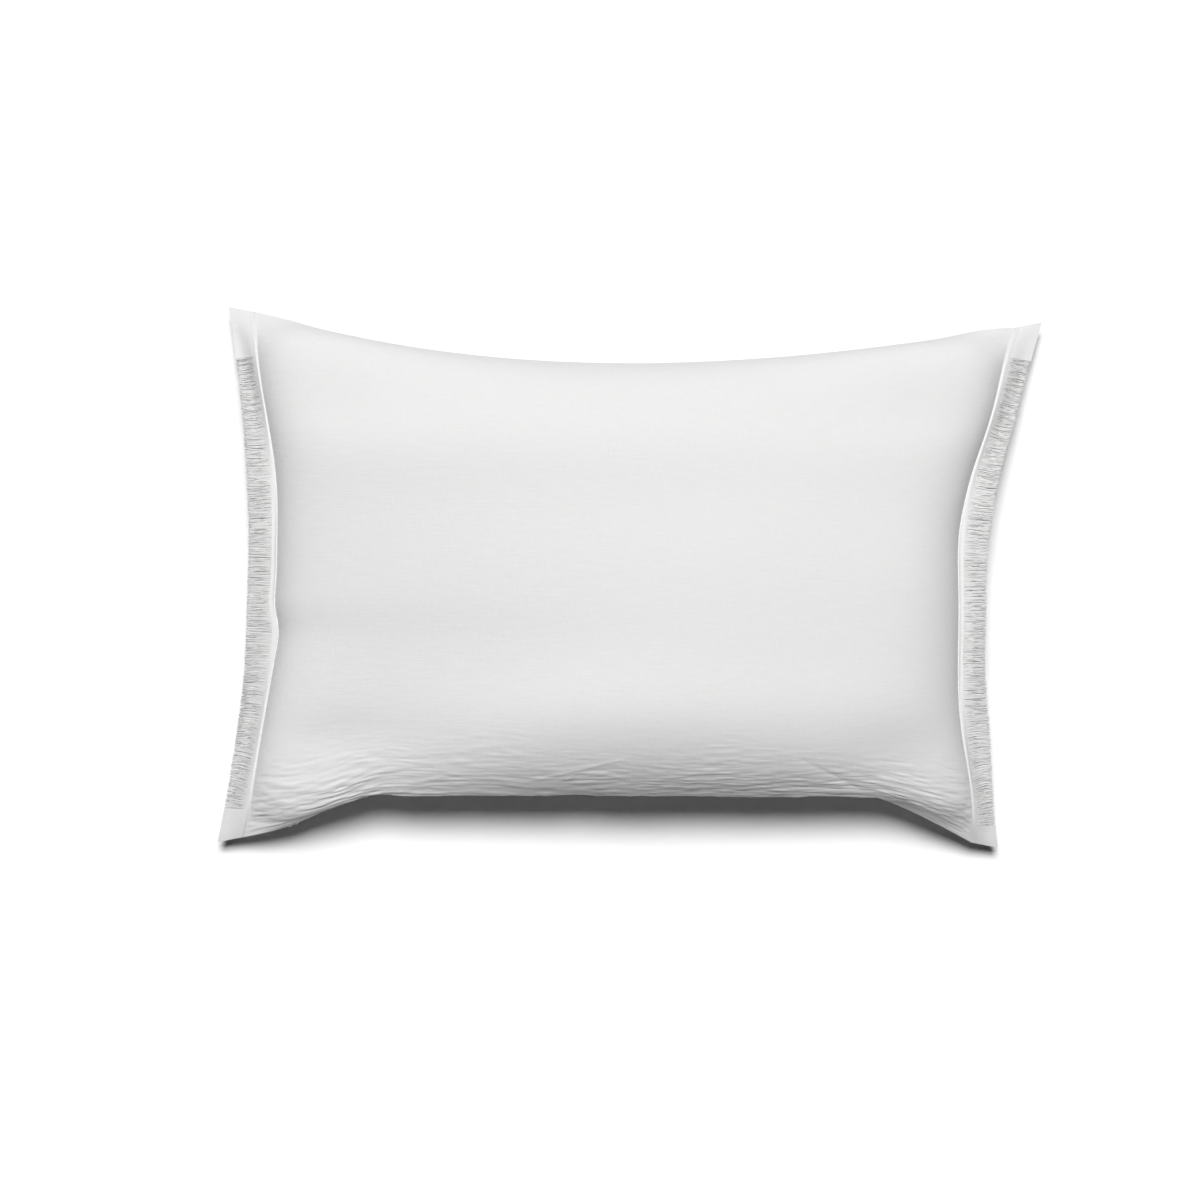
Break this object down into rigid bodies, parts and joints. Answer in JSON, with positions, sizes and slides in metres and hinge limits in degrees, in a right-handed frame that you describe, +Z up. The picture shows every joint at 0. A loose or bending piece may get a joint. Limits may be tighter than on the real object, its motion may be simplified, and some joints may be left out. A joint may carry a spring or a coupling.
{
  "type": "bed pillow",
  "caption": "Plump rectangular bed pillow: a filled insert in a linen case with frayed short sides and a zip hidden in one long seam.",
  "frame": {"origin": "on the floor under the middle of the pillow's bounding box", "axes": "+X along the pillow's length, +Y across it towards the plain closed long seam (the zip is in the -Y seam), +Z up through the upper face"},
  "size_m": [0.744, 0.488, 0.164],
  "materials": {
    "fill": "lofty fibre",
    "ticking": "dense matt cotton",
    "linen": "washed matt linen",
    "linen_threads": "loose matt linen threads",
    "thread": "matt spun thread",
    "label": "smooth blank satin ribbon",
    "zip_tape": "woven matt tape",
    "zip_coil": "matt moulded coil",
    "zip_metal": "semi-gloss white paint"
  },
  "bodies": {
    "pillow": {"fill_core": "fill", "ticking_front": "ticking", "ticking_back": "ticking", "ticking_stitching": "thread", "ticking_label": "label", "case_front": "linen", "case_back": "linen", "case_label": "label", "left_fringe_front": "linen_threads", "left_fringe_back": "linen_threads", "right_fringe_front": "linen_threads", "right_fringe_back": "linen_threads", "left_side_stitching": "thread", "right_side_stitching": "thread", "top_seam_stitching": "thread", "bottom_seam_stitching": "thread", "zip_tape_front": "zip_tape", "zip_tape_back": "zip_tape", "zip_coil_front": "zip_coil", "zip_coil_back": "zip_coil", "zip_top_stop": "zip_metal", "zip_bottom_stop": "zip_metal"},
    "slider": {"zip_slider": "zip_metal"},
    "pull": {"zip_pull": "zip_metal"}
  },
  "joints": [
    {"name": "zip_slide", "type": "slide", "parent": "pillow", "child": "slider", "axis": [-1, 0, 0], "range_m": [0, 0.389]},
    {"name": "pull_swing", "type": "hinge", "parent": "slider", "child": "pull", "pos_m": [0.1855, -0.1947, 0.075], "axis": [0, 0, 1], "range_deg": [0, 180]}
  ]
}
